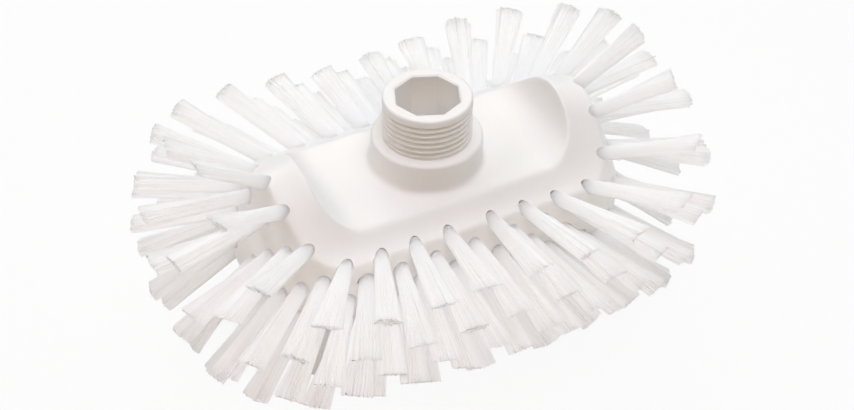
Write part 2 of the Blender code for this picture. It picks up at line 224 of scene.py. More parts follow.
@dataclass(frozen=True)
class WallPlan:
    """Outline of the block's wall from above: straight sides and half-ellipse ends."""

    side_half: float = 46.0 * MM
    end_reach: float = 26.0 * MM
    half_width: float = 35.5 * MM
    corner_run: float = 66.0 * MM
    end_steps: int = 721

    def traced(self) -> tuple[np.ndarray, np.ndarray, np.ndarray]:
        """Points along the outline, clockwise from the middle of the +Y side.

        The ends follow x = side + reach * sin(turn), y = width * cos(turn).

        Returns:
            X, Y and the distance run so far.
        """
        turn = np.linspace(0.0, math.pi, self.end_steps)
        end_x = self.side_half + self.end_reach * np.sin(turn)
        end_y = self.half_width * np.cos(turn)
        x = np.concatenate(([0.0], end_x, -end_x, [0.0]))
        y = np.concatenate(([self.half_width], end_y, -end_y, [self.half_width]))
        return x, y, np.concatenate(([0.0], np.cumsum(np.hypot(np.diff(x), np.diff(y)))))

    @property
    def loop(self) -> float:
        """Length of the outline once round."""
        return float(self.traced()[2][-1])

    def at(self, run: np.ndarray) -> tuple[np.ndarray, np.ndarray]:
        """Points and outward normals at distances along the outline.

        The normal is the gradient of the ellipse past the straight sides.

        Args:
            run: Distances from the middle of the +Y side.

        Returns:
            Two arrays of shape (count, 2).
        """
        x, y, gone = self.traced()
        run = np.mod(run, gone[-1])
        place = np.stack((np.interp(run, gone, x), np.interp(run, gone, y)), axis=-1)
        past = np.maximum(np.abs(place[:, 0]) - self.side_half, 0.0) / self.end_reach ** 2
        slope = (np.copysign(past, place[:, 0]), place[:, 1] / self.half_width ** 2)
        normal = np.stack(slope, axis=-1)
        return place, normal / np.linalg.norm(normal, axis=1, keepdims=True)


@dataclass(frozen=True)
class BlockForm:
    """Heights of the bell-shaped loaf, lean of its wall and the saddle across its middle."""

    plan: WallPlan = field(default_factory=WallPlan)
    wall_level: float = -5.0 * MM
    draw_in: float = 0.35
    swell: float = 0.30
    swell_depth: float = 13.0 * MM
    foot_chamfer: float = 3.0 * MM
    crest: float = 17.0 * MM
    bell_drop: float = 25.0 * MM
    bell_half: float = 42.0 * MM
    droop_start: float = 50.0 * MM
    droop_run: float = 15.0 * MM
    droop: float = 0.14
    droop_power: float = 1.5
    saddle_half: float = 37.5 * MM
    saddle_radius: float = 14.5 * MM
    saddle_lean: float = 0.5 * MM

    def wall_offset(self, height: Values) -> Values:
        """How far the wall stands outside its outline: it swells below a level, draws in above."""
        below = np.clip(self.wall_level - height, 0.0, self.swell_depth)
        return self.swell * below - self.draw_in * np.maximum(height - self.wall_level, 0.0)

    def bell_height(self, x: np.ndarray, y: np.ndarray) -> np.ndarray:
        """Top of the loaf before the saddle is cut.

        A cosine across Y, whose swell weakens with a power of the distance past the droop.
        """
        past = np.maximum(np.abs(x) - self.droop_start, 0.0) / self.droop_run
        swell = 0.5 + 0.5 * np.cos(np.pi * np.minimum(np.abs(y) / self.bell_half, 1.0))
        left = 1.0 - self.droop * past ** self.droop_power
        return self.crest - self.bell_drop + self.bell_drop * left * swell

    def shoulder_height(self, run: np.ndarray) -> np.ndarray:
        """Height at which the wall meets the bell, above the saddle floor.

        Args:
            run: Distances round the outline.

        Returns:
            Heights above the saddle floor.
        """
        place, normal = self.plan.at(run)

        def under_bell(height: np.ndarray) -> np.ndarray:
            """Whether the wall at each height still stands under the bell."""
            spot = place + normal * self.wall_offset(height)[:, None]
            return self.bell_height(spot[:, 0], spot[:, 1]) > height

        low = np.full(len(run), 0.5 * UNDERSIDE)
        return last_inside(low, np.full(len(run), self.crest), under_bell)

    def shoulder(self, run: np.ndarray) -> np.ndarray:
        """Points of the shoulder line, where the wall meets the bell."""
        place, normal = self.plan.at(run)
        height = self.shoulder_height(run)
        return np.column_stack((place + normal * self.wall_offset(height)[:, None], height))

    @property
    def floor_half_width(self) -> float:
        """Half width of the saddle's floor, where the bell comes down to it."""
        share = (self.bell_drop - self.crest) / self.bell_drop
        return self.bell_half * math.acos(2.0 * share - 1.0) / math.pi

    @property
    def trough_length(self) -> float:
        """Length of the saddle's hollow end, along its quarter circle and its leaning top."""
        above = self.crest - self.saddle_radius
        return 0.5 * math.pi * self.saddle_radius + math.hypot(self.saddle_lean, above)

    def trough(self, run: np.ndarray) -> tuple[np.ndarray, np.ndarray]:
        """X and height of the saddle's hollow end: a quarter circle, then a leaning line.

        Args:
            run: Distances along the section from the end of the flat floor.

        Returns:
            X and height, each of run's shape.
        """
        quarter = 0.5 * math.pi * self.saddle_radius
        turn = np.minimum(run, quarter) / self.saddle_radius
        share = np.maximum(run - quarter, 0.0) / (self.trough_length - quarter)
        x = self.saddle_half + self.saddle_radius * np.sin(turn) + self.saddle_lean * share
        rise = self.crest - self.saddle_radius
        return x, self.saddle_radius * (1.0 - np.cos(turn)) + rise * share

    def arch_run(self, y: np.ndarray) -> np.ndarray:
        """How far up the hollow end the bell cuts it off at each Y."""
        def under_bell(run: np.ndarray) -> np.ndarray:
            """Whether the section at each distance still lies under the bell."""
            x, height = self.trough(run)
            return self.bell_height(x, y) > height

        return last_inside(np.zeros(len(y)), np.full(len(y), self.trough_length), under_bell)


@dataclass
class MouldedBody:
    """The loaf with its saddle: a top skin of patches, a wall of rows and a flat underside."""

    form: BlockForm = field(default_factory=BlockForm)
    rows_across_floor: int = 58
    rows_across_flank: int = 11
    floor_columns: int = 80
    trough_columns: int = 28
    dome_columns: int = 24
    wall_rows: int = 34
    least_trough: float = 6.0 * MM
    underside_inset: float = 2.5 * MM
    easing_factor: float = 0.5
    easing_passes: int = 5
    dome_easing_passes: int = 26
    dome_start: float = 55.0 * MM
    dome_depth: float = 4.0 * MM
    shoulder_steps: int = 3784
    sharp_angle: float = 32.0

    def row_widths(self) -> np.ndarray:
        """Y of each row of the top skin, with one row on each long edge of the saddle floor."""
        edge = self.form.floor_half_width
        side = float(self.form.shoulder(np.array([0.0]))[0, 1])
        inner = np.linspace(-edge, edge, self.rows_across_floor + 1)
        outer = np.linspace(edge, side, self.rows_across_flank + 1)[1:]
        return np.concatenate((-outer[::-1], inner, outer))

    def trough_patch(self, width: np.ndarray) -> np.ndarray:
        """Skin of one hollow end of the saddle, on the +X side.

        Each row follows the trough's section as far as the bell lets it, and lies on the bell
        where that is lower.

        Args:
            width: Y of each row.

        Returns:
            Array of shape (rows, columns, 3).
        """
        reach = np.maximum(self.form.arch_run(width), self.least_trough)
        run = reach[:, None] * np.linspace(0.0, 1.0, self.trough_columns + 1)
        x, height = self.form.trough(run)
        y = np.broadcast_to(width[:, None], x.shape)
        return np.stack((x, y, np.minimum(height, self.form.bell_height(x, y))), axis=-1)

    def dome_patch(self, arch: np.ndarray) -> np.ndarray:
        """Skin of one end of the loaf, between the saddle's arch and the shoulder.

        In plan it is a Coons patch: the two rulings between opposite edges are added, and the
        ruling between the corners is taken away. Its height is that of the bell.

        Args:
            arch: Points of the arch, one for each row, of shape (rows, 3).

        Returns:
            Array of shape (rows, columns, 3).
        """
        plan = self.form.plan
        half = 0.5 * plan.loop
        across = np.linspace(0.0, 1.0, len(arch))[:, None, None]
        along = np.linspace(0.0, 1.0, self.dome_columns + 1)[None, :, None]
        side_run = np.linspace(arch[-1, 0], plan.corner_run, self.dome_columns + 1)
        end_run = np.linspace(half - plan.corner_run, plan.corner_run, len(arch))
        top = self.form.shoulder(side_run)[None, :, :2]
        bottom = top * np.array([1.0, -1.0])
        start = arch[:, None, :2]
        end = self.form.shoulder(end_run)[:, None, :2]
        corners = [blend(edge[:, :1], edge[:, -1:], along) for edge in (bottom, top)]
        flat = blend(start, end, along) + blend(bottom, top, across) - blend(*corners, across)
        height = self.form.bell_height(flat[..., 0], flat[..., 1])
        return np.concatenate((flat, height[..., None]), axis=-1)

    def top_skin(self) -> np.ndarray:
        """All of the top, from the -X end to the +X end, of shape (rows, columns, 3)."""
        width = self.row_widths()
        trough = self.trough_patch(width)
        dome = self.dome_patch(trough[:, -1])
        half = np.concatenate((trough, dome[:, 1:]), axis=1)
        x, y = np.meshgrid(
            np.linspace(-self.form.saddle_half, self.form.saddle_half, self.floor_columns + 1), width)
        floor = np.stack((x, y, np.minimum(self.form.bell_height(x, y), 0.0)), axis=-1)
        mirrored = half[:, ::-1] * np.array([-1.0, 1.0, 1.0])
        return np.concatenate((mirrored[:, :-1], floor, half[:, 1:]), axis=1)

    def nearest_runs(self, ring: np.ndarray) -> np.ndarray:
        """Distance round the outline of each point of the shoulder ring.

        The shoulder is traced finely, and each point takes the run of the nearest traced one.
        """
        runs = np.linspace(0.0, self.form.plan.loop, self.shoulder_steps, endpoint=False)
        traced = self.form.shoulder(runs)
        gap = np.linalg.norm(ring[:, None, :2] - traced[None, :, :2], axis=-1)
        return runs[np.argmin(gap, axis=1)]

    def build_mesh(self) -> Mesh:
        """Join the top skin, the wall and the underside, and ease the edges.

        Each wall row stands at a share of the way from the shoulder to the foot, offset from the
        outline as the wall leans there. A chamfer and an inset ring end in one flat face.

        Returns:
            A closed mesh.
        """
        top = self.top_skin()
        rows, columns = top.shape[:2]
        index = np.arange(rows * columns).reshape(rows, columns)
        ring = np.concatenate((index[0, :-1], index[:-1, -1], index[-1, :0:-1], index[:0:-1, 0]))
        points = top.reshape(-1, 3)
        shoulder = points[ring]
        normal = self.form.plan.at(self.nearest_runs(shoulder))[1]
        start = shoulder[:, :2] - normal * self.form.wall_offset(shoulder[:, 2])[:, None]
        share = np.linspace(0.0, 1.0, self.wall_rows + 1)[1:, None]
        height = blend(shoulder[:, 2], UNDERSIDE + self.form.foot_chamfer, share)
        low = self.form.wall_offset(UNDERSIDE) - self.form.foot_chamfer
        under = np.repeat([[low], [low - self.underside_inset]], len(ring), axis=1)
        outside = np.concatenate((self.form.wall_offset(height), under))
        height = np.concatenate((height, np.full(under.shape, UNDERSIDE)))
        rings = np.concatenate((start + normal * outside[..., None], height[..., None]), axis=-1)
        below = len(points) + np.arange(height.size).reshape(height.shape)
        table = wrap_columns(np.concatenate((ring[None], below)))
        quads = np.concatenate((grid_quads(index), grid_quads(table)[:, ::-1]))
        points = np.concatenate((points, rings.reshape(-1, 3)))
        points[:, 2] += SADDLE_FLOOR
        shell = opened_shell(points, quads, below[-1:, ::-1])
        self.ease(shell)
        return closed_mesh("moulded_body", shell)

    def ease(self, shell: bmesh.types.BMesh) -> None:
        """Round the edges by moving each point towards its neighbours' mean, more at the ends."""
        above = SADDLE_FLOOR - self.dome_depth
        dome = [v for v in shell.verts if abs(v.co.x) > self.dome_start and v.co.z > above]
        for points, passes in ((dome, self.dome_easing_passes), (shell.verts, self.easing_passes)):
            for _ in range(passes):
                bmesh.ops.smooth_vert(shell, verts=points, factor=self.easing_factor,
                                      use_axis_x=True, use_axis_y=True, use_axis_z=True)


@dataclass
class ThreadedSpigot:
    """Collar, threaded spigot and octagonal socket, turned about the Z axis."""

    collar_radius: float = 20.8 * MM
    collar_height: float = 12.0 * MM
    collar_edge: float = 1.2 * MM
    collar_fillet: float = 2.2 * MM
    thread_radius: float = 16.62 * MM
    thread_depth: float = 1.35 * MM
    thread_pitch: float = 2.309 * MM
    thread_fade: float = 1.2 * MM
    wave_gain: float = 1.35
    wave_lift: float = 0.2
    lip_height: float = 2.6 * MM
    lip_edge: float = 1.0 * MM
    height: float = 17.35 * MM
    socket_corner: float = 12.55 * MM
    socket_chamfer: float = 0.6 * MM
    socket_depth: float = 24.0 * MM
    sunk: float = 1.5 * MM
    mouth_width: float = 0.25 * MM
    mouth_drop: float = 0.08 * MM
    edge_gap: float = 0.3 * MM
    rim_step: float = 0.8 * MM
    top_steps: tuple[float, float] = (1.6 * MM, 0.5 * MM)
    side_shares: tuple[float, ...] = (0.35, 0.5, 0.65, 0.8)
    floor_shares: tuple[float, ...] = (0.66, 0.33, 0.0)
    arc_points: tuple[int, int, int] = (9, 7, 6)
    around: int = 192
    rows_per_turn: int = 12
    socket_levels: int = 9

    def arc(self, centre: tuple[float, float], radius: float, start: float, stop: float,
            count: int) -> np.ndarray:
        """Radii and heights along an arc of the turned profile, angles in degrees."""
        turn = np.radians(np.linspace(start, stop, count))
        return np.column_stack((centre[0] + radius * np.cos(turn), centre[1] + radius * np.sin(turn)))

    def outer_profile(self) -> np.ndarray:
        """Radii and heights up the collar: foot fillet, side, rounded edge and flat top."""
        fillet, edge = self.collar_fillet, self.collar_edge
        foot = self.collar_radius + fillet
        return np.concatenate((
            [(foot, -self.sunk)],
            self.arc((foot, fillet), fillet, 270.0, 180.0, self.arc_points[0]),
            [(self.collar_radius, share * self.collar_height) for share in self.side_shares],
            self.arc((self.collar_radius - edge, self.collar_height - edge), edge, 0.0, 90.0,
                     self.arc_points[1]),
            [(self.thread_radius + step, self.collar_height) for step in self.top_steps],
        ))

    def thread_rows(self, angle: np.ndarray) -> np.ndarray:
        """Radius and height over the threaded part, which winds up to the right.

        The radius is that of the crest less the depth times a rounded wave of height over pitch
        less angle over a full turn, and the wave fades out at both ends.

        Args:
            angle: Angles round the axis.

        Returns:
            Array of shape (rows, angles, 2).
        """
        top = self.collar_height + self.height - self.lip_height
        turns = (top - self.collar_height) / self.thread_pitch
        rise = np.linspace(self.collar_height, top, int(turns * self.rows_per_turn) + 1)[:, None]
        wave = np.cos(2.0 * np.pi * (rise / self.thread_pitch - angle[None] / (2.0 * np.pi)))
        steep = np.clip(self.wave_gain * wave + self.wave_lift, -1.0, 1.0)
        groove = 0.5 - 0.5 * np.sin(0.5 * np.pi * steep)
        ends = np.minimum(rise - self.collar_height, top - rise) / self.thread_fade
        fade = np.clip(ends, 0.0, 1.0)
        fade = fade * fade * (3.0 - 2.0 * fade)
        radius = self.thread_radius - self.thread_depth * groove * fade
        return np.stack((radius, np.broadcast_to(rise, radius.shape)), axis=-1)

    def socket_rows(self, angle: np.ndarray) -> np.ndarray:
        """Radius and height from the lip into the octagonal socket and over its floor.

        An octagon's radius is its apothem over the cosine of the angle from the nearest flat's
        middle.

        Args:
            angle: Angles round the axis.

        Returns:
            Array of shape (rows, angles, 2).
        """
        top = self.collar_height + self.height
        eighth = 0.25 * np.pi
        apothem = self.socket_corner * math.cos(0.5 * eighth)
        flat = apothem / np.cos(np.mod(angle, eighth) - 0.5 * eighth)
        mouth = flat + self.socket_chamfer
        floor = top - self.socket_depth
        depths = np.linspace(top - self.socket_chamfer, floor, self.socket_levels)
        rows = [(mouth + self.mouth_width, top), (mouth, top - self.mouth_drop)]
        rows += [(flat, depth) for depth in depths]
        rows += [(flat * share, floor) for share in self.floor_shares]
        return np.stack([np.column_stack((r, np.full(len(angle), z))) for r, z in rows])

    def build_mesh(self) -> Mesh:
        """Join the rows from the sunk foot, up and over, to the middle of the socket's floor.

        Returns:
            A closed mesh that reaches a little below the saddle floor.
        """
        angle = 2.0 * np.pi * np.arange(self.around) / self.around
        lip = self.collar_height + self.height
        edge = self.lip_edge
        rim = self.thread_radius - edge
        lip_profile = np.concatenate((
            [(self.thread_radius, lip - self.lip_height + self.edge_gap)],
            [(self.thread_radius, lip - edge - self.edge_gap)],
            self.arc((rim, lip - edge), edge, 0.0, 90.0, self.arc_points[2]),
            [(rim - self.rim_step, lip)],
        ))
        turned = (self.outer_profile(), lip_profile)
        collar, ring = (np.repeat(part[:, None], self.around, axis=1) for part in turned)
        rows = np.concatenate((collar, self.thread_rows(angle), ring, self.socket_rows(angle)))
        x = rows[..., 0] * np.cos(angle)
        y = rows[..., 0] * np.sin(angle)
        points = np.stack((x, y, rows[..., 1] + SADDLE_FLOOR), axis=-1)
        return turned_mesh("spigot", points, flat_foot=True)


@dataclass(frozen=True)
class TuftSet:
    """Roots, directions and lengths of some tufts, and whether they are cut off at the floor."""

    roots: np.ndarray
    axes: np.ndarray
    lengths: np.ndarray
    cut_at_floor: bool = False


@dataclass
class TuftPlan:
    """Where every tuft stands: round the wall, in its chamfered foot and underneath.

    Four staggered rows go round the wall. The foot's row comes after them, with the last number
    of each tuple. Tilts are in degrees and lengths in millimetres. The tufts of the +Y side lean
    up a little more and are a little longer, most at its middle.
    """

    form: BlockForm = field(default_factory=BlockForm)
    first_column: float = 9.0 * MM
    side_pitch: float = 13.9 * MM
    side_columns: int = 4
    end_columns: int = 3
    wall_rows: int = 4
    first_row_drop: float = 0.5 * MM
    last_row_rise_at_side: float = 5.0 * MM
    last_row_rise_at_end: float = 14.0 * MM
    tilts_at_side: tuple[float, ...] = (2.0, -5.5, -10.0, -14.5, -22.0)
    tilts_at_end: tuple[float, ...] = (32.0, -0.5, -4.5, -32.0, -47.0)
    tilt_power: float = 2.1
    fan_powers: tuple[float, ...] = (1.47, 1.6, 1.45, 1.3, 1.0)
    lengths_at_side: tuple[float, ...] = (30.5, 35.8, 37.5, 36.5, 34.0)
    lengths_at_corner: tuple[float, ...] = (37.0, 36.5, 37.0, 35.0, 34.0)
    lengths_at_end: tuple[float, ...] = (29.0, 38.5, 37.0, 35.5, 34.0)
    far_tilt: float = 6.0
    far_length: float = 3.0
    under_row_pitch: float = 11.0 * MM
    under_pitch: float = 17.6 * MM
    under_counts: tuple[int, ...] = (7, 6, 7, 6, 7)
    under_splay: float = 4.0

    def column_runs(self) -> np.ndarray:
        """Distances round the outline of the first row's tufts, mirrored from one quarter."""
        quarter = 0.25 * self.form.plan.loop
        side = self.first_column + self.side_pitch * np.arange(self.side_columns)
        end = np.linspace(side[-1], quarter, self.end_columns + 1)[1:]
        first = np.concatenate((side, end))
        half = np.concatenate((first, 2.0 * quarter - first[-2::-1]))
        return np.concatenate((half, half + 2.0 * quarter))

    def between_runs(self) -> np.ndarray:
        """Distances half way between each first-row tuft and the next."""
        runs = self.column_runs()
        after = np.append(runs[1:], runs[0] + self.form.plan.loop)
        return 0.5 * (runs + after)

    def end_share(self, run: np.ndarray) -> np.ndarray:
        """0 where the shoulder is as low as on the long sides, 1 at its highest, mid-end."""
        ends = self.form.shoulder_height(np.array([0.0, 0.25 * self.form.plan.loop]))
        share = (self.form.shoulder_height(run) - ends[0]) / (ends[1] - ends[0])
        return np.clip(share, 0.0, 1.0)

    def root_heights(self, row: int, run: np.ndarray) -> np.ndarray:
        """Heights of a wall row's roots, spread from under the shoulder to above the foot."""
        share = self.end_share(run)
        first = self.form.shoulder_height(run) - self.first_row_drop
        rise = blend(self.last_row_rise_at_side, self.last_row_rise_at_end, share)
        return first + (UNDERSIDE + rise - first) * row / (self.wall_rows - 1)

    def outer_row(self, row: int) -> TuftSet:
        """Tufts of one row round the wall, or of the row in the middle of the foot's chamfer.

        A tuft leans out along a fan angle that grows with a power of its distance from the
        middle of the side. It tilts up or down with its row, more and more towards the ends.

        Args:
            row: 0 for the top row, and the last for the foot's row.

        Returns:
            One tuft for each column.
        """
        run = self.column_runs() if row % 2 == 0 else self.between_runs()
        if row < self.wall_rows:
            height = self.root_heights(row, run)
            outside = self.form.wall_offset(height)
        else:
            half_chamfer = 0.5 * self.form.foot_chamfer
            height = np.full(len(run), UNDERSIDE + half_chamfer)
            outside = self.form.wall_offset(height - half_chamfer) - half_chamfer
        place, normal = self.form.plan.at(run)
        quarter = 0.25 * self.form.plan.loop
        away = np.abs(np.mod(run + quarter, 2.0 * quarter) - quarter) / quarter
        tilt_gain = self.tilts_at_end[row] - self.tilts_at_side[row]
        tilt = np.radians(self.tilts_at_side[row] + tilt_gain * away ** self.tilt_power)
        far = np.where(place[:, 1] > 0.0, 1.0 - away ** 2, 0.0)
        tilt = tilt + np.radians(self.far_tilt) * far
        fan = 0.5 * np.pi * away ** self.fan_powers[row]
        axis = np.column_stack((
            np.copysign(np.sin(fan), place[:, 0]) * np.cos(tilt),
            np.copysign(np.cos(fan), place[:, 1]) * np.cos(tilt),
            np.sin(tilt),
        ))
        straight = blend(self.lengths_at_side[row], self.lengths_at_end[row], away ** 2)
        length = blend(straight, self.lengths_at_corner[row], np.sin(np.pi * away) ** 2)
        length = length + self.far_length * far
        root = np.column_stack((place + normal * outside[:, None], height + SADDLE_FLOOR))
        return TuftSet(root, axis, length * MM)

    def sector(self, number: int) -> TuftSet:
        """The tufts of one sector of the wall, one from each row and one from the foot's."""
        rows = [self.outer_row(row) for row in range(self.wall_rows + 1)]
        picked = [(tufts.roots[number], tufts.axes[number], tufts.lengths[number]) for tufts in rows]
        return TuftSet(*(np.stack(part) for part in zip(*picked)))

    def under_row(self, row: int) -> TuftSet:
        """Tufts of one row underneath, splayed a little outward and cut flat at the floor."""
        count = self.under_counts[row]
        column = np.arange(count) - 0.5 * (count - 1)
        middle = 0.5 * (len(self.under_counts) - 1)
        lean = math.tan(math.radians(self.under_splay))
        reach = np.column_stack((
            lean * column / column[-1],
            np.full(count, lean * (row - middle) / middle),
            np.full(count, -1.0),
        )) * (SADDLE_FLOOR + UNDERSIDE)
        across = np.full(count, self.under_row_pitch * (row - middle))
        height = np.full(count, SADDLE_FLOOR + UNDERSIDE)
        roots = np.column_stack((self.under_pitch * column, across, height))
        length = np.linalg.norm(reach, axis=1)
        return TuftSet(roots, reach / length[:, None], length, cut_at_floor=True)


def frame_of(axes: np.ndarray) -> tuple[np.ndarray, np.ndarray]:
    """Two unit directions across each axis, the first level, or along X for upright axes.

    Args:
        axes: Unit vectors of shape (count, 3).

    Returns:
        Two arrays of shape (count, 3), at right angles to the axes and to each other.
    """
    leaning = np.abs(axes[:, 2:]) < UPRIGHT_FROM
    helper = np.where(leaning, (0.0, 0.0, 1.0), (0.0, 1.0, 0.0))
    side = np.cross(helper, axes)
    side = side / np.linalg.norm(side, axis=1, keepdims=True)
    return side, np.cross(axes, side)


@dataclass
class TuftHoles:
    """Drilled holes for the tufts, each with a small countersink at the surface."""

    radius: float = 2.72 * MM
    depth: float = 4.2 * MM
    countersink_depth: float = 0.2 * MM
    countersink_slope: float = 0.6
    reach_out: float = 1.4 * MM
    sides: int = 18

    def build_mesh(self, tufts: list[TuftSet]) -> Mesh:
        """Stand a stepped drill at each root: straight below the countersink, widening above it.

        Args:
            tufts: Tufts that need holes.

        Returns:
            A mesh of separate closed drills.
        """
        roots = np.concatenate([group.roots for group in tufts])
        axes = np.concatenate([group.axes for group in tufts])
        side, over = frame_of(axes)
        sunk, out = self.countersink_depth, self.reach_out
        wide = self.radius + self.countersink_slope * (sunk + out)
        radius = np.array([0.0, self.radius, self.radius, wide, 0.0])
        along = np.array([-self.depth, -self.depth, -sunk, out, out])
        turn = (2.0 * np.pi * np.arange(self.sides) / self.sides)[None, :, None]
        spoke = side[:, None] * np.cos(turn) + over[:, None] * np.sin(turn)
        points = (roots[:, None, None] + axes[:, None, None] * along[None, :, None, None]
                  + spoke[:, None] * radius[None, :, None, None])
        return turned_mesh("drills", points)


@dataclass
class BristleTufts:
    """Bundles of filament, each one closed, fluted body: round in its hole, fanned at its end.

    Every flute is a filament on the outside of the bundle, with its own length and lean. The
    end is a disc of filament ends, cut so that the upper filaments reach a little further.
    """

    flutes: int = 46
    rings: int = 9
    end_rings: int = 6
    root_radius: float = 2.68 * MM
    tip_along_wall: float = 5.15 * MM
    tip_across_wall: float = 1.55 * MM
    spread_power: float = 1.08
    seat: float = 3.2 * MM
    groove: float = 0.12 * MM
    groove_gain: float = 0.18 * MM
    lobe: float = 0.04375
    lobe_orders: tuple[int, ...] = (2, 3, 5)
    lean: float = 0.016
    stray_share: float = 0.07
    stray: float = 0.9 * MM
    ragged: float = 0.34 * MM
    notch: float = 0.3 * MM
    end_bumps: float = 0.15 * MM
    slant: float = 0.4 * MM
    overhang: float = 1.0 * MM
    ring_power: float = 0.9
    end_shares: tuple[float, float] = (0.93, 0.004)
    rim_power: int = 8
    floor_gap: float = 0.05 * MM
    floor_ragged: float = 0.3 * MM
    floor_ripple: float = 9.0e4
    sharp_angle: float = 60.0

    def radii(self, way: np.ndarray) -> tuple[np.ndarray, np.ndarray]:
        """Half widths of the bundle along and across the wall, growing with a power of the way."""
        spread = way ** self.spread_power
        wide = self.root_radius + (self.tip_along_wall - self.root_radius) * spread
        deep = self.root_radius + (self.tip_across_wall - self.root_radius) * spread
        return wide, deep

    def steps(self) -> tuple[np.ndarray, np.ndarray]:
        """Share of the length and share of the radius at each ring: up the side, then inward."""
        up = np.linspace(0.0, 1.0, self.rings) ** self.ring_power
        inward = np.sqrt(np.linspace(*self.end_shares, self.end_rings))
        return (np.concatenate((up, np.ones(self.end_rings))),
                np.concatenate((np.ones(self.rings), inward)))

    def lengths(self, tufts: TuftSet, angle: np.ndarray, inward: np.ndarray,
                draw: np.random.Generator) -> np.ndarray:
        """Length at every ring and flute, ragged, slanted, and longer on the upper side.

        Args:
            tufts: Where the tufts stand.
            angle: Angles round the bundle, alternately a filament's crest and a groove.
            inward: Share of the radius at each ring.
            draw: Source of random numbers.

        Returns:
            Array of shape (tufts, rings, angles).
        """
        count, around, end = len(tufts.roots), len(angle), inward[:, None] < 1.0
        cut = draw.normal(0.0, self.slant, (count, 1, 2))
        turned = cut[..., :1] * np.cos(angle) + (cut[..., 1:] + self.overhang) * np.sin(angle)
        edge = draw.normal(0.0, self.ragged, (count, 1, around)) - self.notch * (np.arange(around) % 2)
        bumps = draw.normal(-0.5 * self.notch, self.end_bumps, (count, len(inward), around))
        return tufts.lengths[:, None, None] + turned * inward[:, None] + np.where(end, bumps, edge)

    def surface(self, tufts: TuftSet, draw: np.random.Generator) -> tuple[np.ndarray, ...]:
        """Points of every bundle, with the tone of each flute and the share of the length.

        A ring is an ellipse with a few waves and a groove between every two crests.

        Args:
            tufts: Where the tufts stand.
            draw: Source of random numbers.

        Returns:
            Points of shape (tufts, rings, angles, 3), then tones and shares of shape
            (tufts, rings, angles).
        """
        count, around = len(tufts.roots), 2 * self.flutes
        angle = 2.0 * np.pi * np.arange(around) / around
        share, inward = self.steps()
        length = self.lengths(tufts, angle, inward, draw)
        along = -self.seat + share[:, None] * (length + self.seat)
        way = np.clip(along / tufts.lengths[:, None, None], 0.0, 1.0)
        wide, deep = self.radii(way)
        phases = draw.uniform(0.0, 2.0 * np.pi, (count, 1, 1, len(self.lobe_orders)))
        waves = sum(np.cos(order * angle + phases[..., k]) for k, order in enumerate(self.lobe_orders))
        factor = inward[:, None] * (1.0 + self.lobe * waves * way)
        strayed = draw.uniform(0.0, 1.0, (count, 1, around)) < self.stray_share
        strays = self.stray * strayed * way ** 2
        grooves = (self.groove + self.groove_gain * way) * (np.arange(around) % 2)
        out = (strays - grooves) * inward[:, None] ** self.rim_power
        turned = angle + draw.normal(0.0, self.lean, (count, 1, around)) * way
        side, over = (part[:, None, None] for part in frame_of(tufts.axes))
        points = (tufts.roots[:, None, None] + tufts.axes[:, None, None] * along[..., None]
                  + side * ((wide * factor + out) * np.cos(turned))[..., None]
                  + over * ((deep * factor + out) * np.sin(turned))[..., None])
        if tufts.cut_at_floor:
            ripple = 0.5 + 0.5 * np.sin(self.floor_ripple * points[..., 0])
            points[..., 2] = np.maximum(points[..., 2], self.floor_gap + self.floor_ragged * ripple)
        tone = np.broadcast_to(draw.uniform(0.0, 1.0, (count, 1, around)), along.shape)
        return points, tone, way

    def build_mesh(self, name: str, tufts: TuftSet, seed: int) -> Mesh:
        """Grow the bundles of some tufts as whole arrays.

        Args:
            name: Name of the mesh.
            tufts: Where the tufts stand.
            seed: Start of the random numbers for this mesh.

        Returns:
            A mesh of closed bundles with the attributes strand_tone and strand_along.
        """
        points, tone, way = self.surface(tufts, np.random.default_rng(seed))
        index = np.arange(tone.size).reshape(tone.shape)
        ends = np.concatenate((index[:, 0, ::-1], index[:, -1]))
        mesh = array_mesh(name, points.reshape(-1, 3), grid_quads(wrap_columns(index)), ends)
        for label, values in (("strand_tone", tone), ("strand_along", way)):
            attribute = mesh.attributes.new(label, "FLOAT", "POINT")
            attribute.data.foreach_set("value", values.ravel().astype(np.float32))
        mesh.shade_smooth()
        mesh.set_sharp_from_angle(angle=math.radians(self.sharp_angle))
        return mesh


@dataclass(frozen=True)
class MouldedFinish:
    """White moulded plastic: faint clouding, a fine grain and a soft gloss."""

    colour: tuple[float, float, float] = (0.89, 0.875, 0.862)
    clouded: tuple[float, float, float] = (0.86, 0.84, 0.82)
    roughness: float = 0.38
    cloud_scale: float = 55.0
    grain_scale: float = 1600.0
    grain_depth: float = 0.02 * MM
    grain_strength: float = 0.5


@dataclass(frozen=True)
class FilamentFinish:
    """White stiff filament: each strand a little different, with painted light at its root: a paler,
    cooler tint that stands in for the bluish fill light falling there.
    """

    pale: tuple[float, float, float] = (0.965, 0.957, 0.949)
    dim: tuple[float, float, float] = (0.90, 0.887, 0.875)
    # root: painted light, a paler and cooler tint that stands in for the bluish fill light on the
    # tufts' roots
    root: tuple[float, float, float] = (0.955, 0.96, 0.965)
    roughness: float = 0.45
    root_light_fade: tuple[float, float] = (0.05, 0.5)
    scatter: float = 0.75
    scatter_reach: float = 25.0 * MM
    scatter_tint: tuple[float, float, float] = (1.0, 1.0, 1.0)


